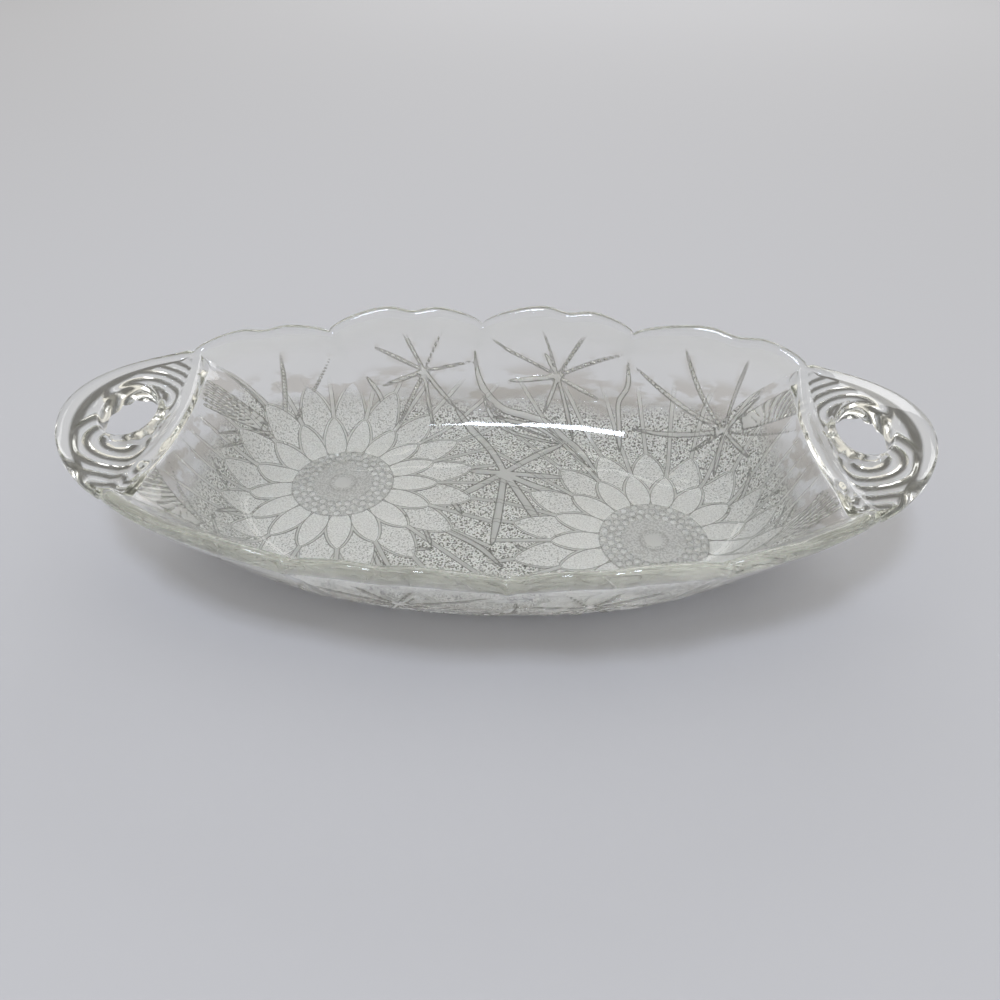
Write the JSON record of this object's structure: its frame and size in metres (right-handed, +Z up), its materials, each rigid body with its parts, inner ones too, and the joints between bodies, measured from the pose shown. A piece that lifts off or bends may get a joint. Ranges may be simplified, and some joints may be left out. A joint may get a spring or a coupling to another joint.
{
  "type": "relish tray",
  "caption": "Long oval pressed-glass relish tray with a scalloped rim, a flat bottom and a pierced tab handle at each end.",
  "frame": {"origin": "middle of the flat bottom, at the height of the table", "axes": "+X along the length toward one handle, +Y across the tray, +Z up out of the bowl"},
  "size_m": [0.29, 0.1534, 0.048],
  "materials": {
    "clear_glass": "fire-polished pressed glass, clear with a faint green-grey in its thickness"
  },
  "bodies": {
    "root": {"well_floor": "clear_glass", "back_wall": "clear_glass", "front_wall": "clear_glass", "left_end_wall": "clear_glass", "right_end_wall": "clear_glass", "left_handle": "clear_glass", "right_handle": "clear_glass"}
  },
  "joints": []
}
